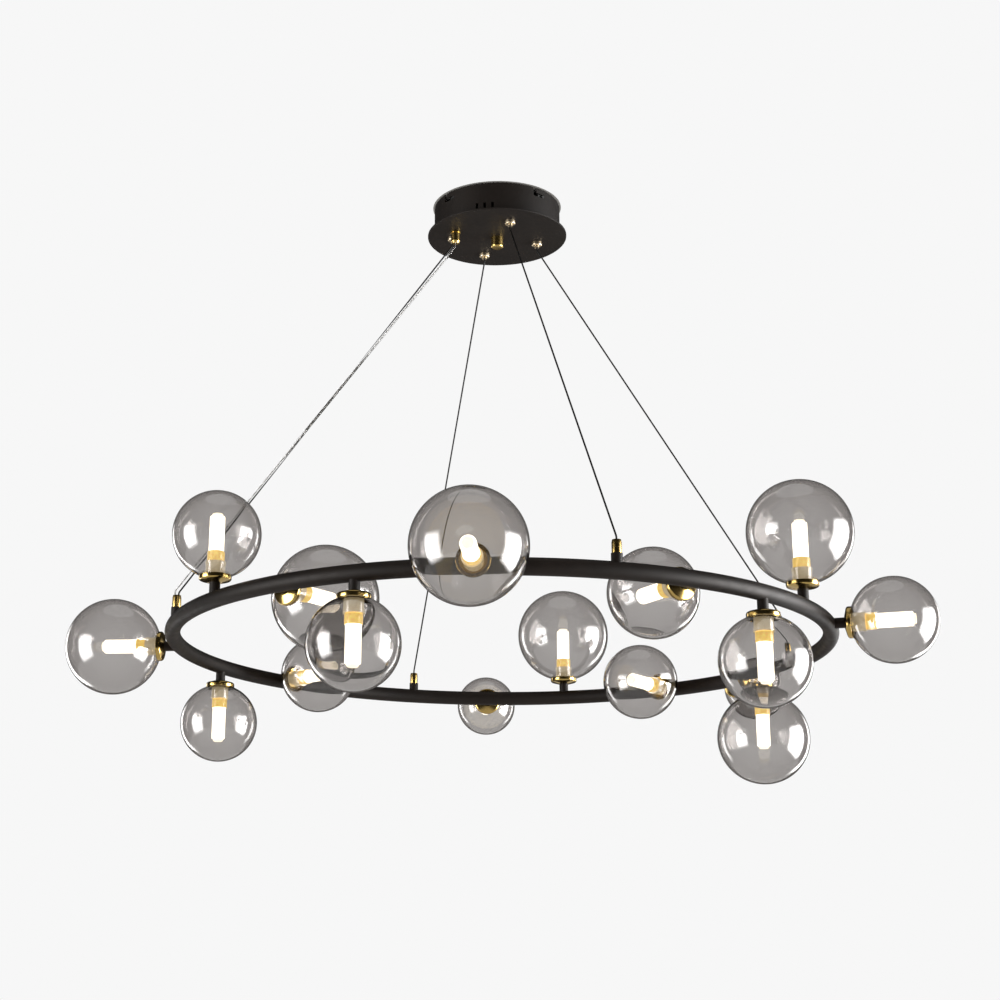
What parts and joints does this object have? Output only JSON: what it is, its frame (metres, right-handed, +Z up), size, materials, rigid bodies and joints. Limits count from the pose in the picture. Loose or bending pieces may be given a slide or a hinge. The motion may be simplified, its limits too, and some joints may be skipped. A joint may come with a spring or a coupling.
{
  "type": "orb chandelier",
  "caption": "Ring chandelier on four wires from a round canopy, with glass globes on brass dishes facing up, down, in and out.",
  "frame": {"origin": "middle of the ceiling bracket's top face, on the ceiling", "axes": "+Z up to the ceiling, -Y towards the front as pictured, +X to the right"},
  "size_m": [1.0219, 1.026, 0.7128],
  "materials": {
    "zinc_steel": "zinc plated, dull",
    "nickel": "nickel plated, satin",
    "black_powder": "fine matte powder coat",
    "polished_brass": "polished and lacquered",
    "contact_brass": "plain stamped brass",
    "black_wire": "black coated steel cable",
    "clear_cable": "clear sheath over tinned strands",
    "white_cable": "white sheath",
    "white_nylon": "plain nylon",
    "white_ceramic": "unglazed steatite",
    "smoked_glass": "smoke grey, clear and glossy",
    "capsule_lamp": "frosted, lit"
  },
  "bodies": {
    "ceiling_mount": {"ceiling_bracket": "zinc_steel", "bayonet_pins": "zinc_steel", "centre_stud": "zinc_steel", "stud_locknut": "zinc_steel"},
    "chandelier": {"brass_dishes": "polished_brass", "bush_bases": "black_powder", "bush_collars": "polished_brass", "canopy_drum": "black_powder", "canopy_nuts": "zinc_steel", "canopy_plate": "black_powder", "contact_clips": "contact_brass", "gland_body": "polished_brass", "gland_cap": "polished_brass", "gripper_bodies": "nickel", "lamp_holders": "white_ceramic", "lamp_stems": "black_powder", "led_capsule_1": "capsule_lamp", "led_capsule_10": "capsule_lamp", "led_capsule_11": "capsule_lamp", "led_capsule_12": "capsule_lamp", "led_capsule_13": "capsule_lamp", "led_capsule_14": "capsule_lamp", "led_capsule_15": "capsule_lamp", "led_capsule_16": "capsule_lamp", "led_capsule_2": "capsule_lamp", "led_capsule_3": "capsule_lamp", "led_capsule_4": "capsule_lamp", "led_capsule_5": "capsule_lamp", "led_capsule_6": "capsule_lamp", "led_capsule_7": "capsule_lamp", "led_capsule_8": "capsule_lamp", "led_capsule_9": "capsule_lamp", "power_cable": "clear_cable", "ring_harness": "white_cable", "ring_tube": "black_powder", "suspension_wires": "black_wire", "terminal_block": "white_nylon"},
    "glass_globe_1": {"glass_globe_1": "smoked_glass"},
    "glass_globe_2": {"glass_globe_2": "smoked_glass"},
    "glass_globe_3": {"glass_globe_3": "smoked_glass"},
    "glass_globe_4": {"glass_globe_4": "smoked_glass"},
    "glass_globe_5": {"glass_globe_5": "smoked_glass"},
    "glass_globe_6": {"glass_globe_6": "smoked_glass"},
    "glass_globe_7": {"glass_globe_7": "smoked_glass"},
    "glass_globe_8": {"glass_globe_8": "smoked_glass"},
    "glass_globe_9": {"glass_globe_9": "smoked_glass"},
    "glass_globe_10": {"glass_globe_10": "smoked_glass"},
    "glass_globe_11": {"glass_globe_11": "smoked_glass"},
    "glass_globe_12": {"glass_globe_12": "smoked_glass"},
    "glass_globe_13": {"glass_globe_13": "smoked_glass"},
    "glass_globe_14": {"glass_globe_14": "smoked_glass"},
    "glass_globe_15": {"glass_globe_15": "smoked_glass"},
    "glass_globe_16": {"glass_globe_16": "smoked_glass"},
    "gripper_plunger_1": {"gripper_plunger_1": "nickel"},
    "gripper_plunger_2": {"gripper_plunger_2": "nickel"},
    "gripper_plunger_3": {"gripper_plunger_3": "nickel"},
    "gripper_plunger_4": {"gripper_plunger_4": "nickel"},
    "centre_nut": {"centre_nut": "polished_brass"}
  },
  "joints": [
    {"name": "bayonet_twist", "type": "hinge", "parent": "ceiling_mount", "child": "chandelier", "pos_m": [0, 0, 0], "axis": [0, 0, 1], "range_deg": [0, 10]},
    {"name": "centre_nut_slide", "type": "slide", "parent": "ceiling_mount", "child": "centre_nut", "axis": [0, 0, -1], "range_m": [0, 0.008]},
    {"name": "gripper_1_release", "type": "slide", "parent": "chandelier", "child": "gripper_plunger_1", "axis": [0, 0, 1], "range_m": [0, 0.002], "stiffness_N_per_m": 150, "springref_m": -0.004},
    {"name": "gripper_2_release", "type": "slide", "parent": "chandelier", "child": "gripper_plunger_2", "axis": [0, 0, 1], "range_m": [0, 0.002], "stiffness_N_per_m": 150, "springref_m": -0.004},
    {"name": "gripper_3_release", "type": "slide", "parent": "chandelier", "child": "gripper_plunger_3", "axis": [0, 0, 1], "range_m": [0, 0.002], "stiffness_N_per_m": 150, "springref_m": -0.004},
    {"name": "gripper_4_release", "type": "slide", "parent": "chandelier", "child": "gripper_plunger_4", "axis": [0, 0, 1], "range_m": [0, 0.002], "stiffness_N_per_m": 150, "springref_m": -0.004},
    {"name": "globe_1_pull", "type": "slide", "parent": "chandelier", "child": "glass_globe_1", "axis": [0, 0, 1], "range_m": [0, 0.008]},
    {"name": "globe_2_pull", "type": "slide", "parent": "chandelier", "child": "glass_globe_2", "axis": [-0.9989, 0.0471, 0], "range_m": [0, 0.008]},
    {"name": "globe_3_pull", "type": "slide", "parent": "chandelier", "child": "glass_globe_3", "axis": [0, 0, -1], "range_m": [0, 0.008]},
    {"name": "globe_4_pull", "type": "slide", "parent": "chandelier", "child": "glass_globe_4", "axis": [0.6088, 0.7934, 0], "range_m": [0, 0.008]},
    {"name": "globe_5_pull", "type": "slide", "parent": "chandelier", "child": "glass_globe_5", "axis": [0, 0, -1], "range_m": [0, 0.008]},
    {"name": "globe_6_pull", "type": "slide", "parent": "chandelier", "child": "glass_globe_6", "axis": [0.7513, -0.66, 0], "range_m": [0, 0.008]},
    {"name": "globe_7_pull", "type": "slide", "parent": "chandelier", "child": "glass_globe_7", "axis": [-0.0593, -0.9982, 0], "range_m": [0, 0.008]},
    {"name": "globe_8_pull", "type": "slide", "parent": "chandelier", "child": "glass_globe_8", "axis": [-0.0401, 0.9992, 0], "range_m": [0, 0.008]},
    {"name": "globe_9_pull", "type": "slide", "parent": "chandelier", "child": "glass_globe_9", "axis": [0, 0, 1], "range_m": [0, 0.008]},
    {"name": "globe_10_pull", "type": "slide", "parent": "chandelier", "child": "glass_globe_10", "axis": [-0.5948, -0.8039, 0], "range_m": [0, 0.008]},
    {"name": "globe_11_pull", "type": "slide", "parent": "chandelier", "child": "glass_globe_11", "axis": [-0.515, 0.8572, 0], "range_m": [0, 0.008]},
    {"name": "globe_12_pull", "type": "slide", "parent": "chandelier", "child": "glass_globe_12", "axis": [0, 0, 1], "range_m": [0, 0.008]},
    {"name": "globe_13_pull", "type": "slide", "parent": "chandelier", "child": "glass_globe_13", "axis": [0, 0, -1], "range_m": [0, 0.008]},
    {"name": "globe_14_pull", "type": "slide", "parent": "chandelier", "child": "glass_globe_14", "axis": [0, 0, -1], "range_m": [0, 0.008]},
    {"name": "globe_15_pull", "type": "slide", "parent": "chandelier", "child": "glass_globe_15", "axis": [0.9537, -0.3007, 0], "range_m": [0, 0.008]},
    {"name": "globe_16_pull", "type": "slide", "parent": "chandelier", "child": "glass_globe_16", "axis": [0.7604, 0.6494, 0], "range_m": [0, 0.008]}
  ]
}
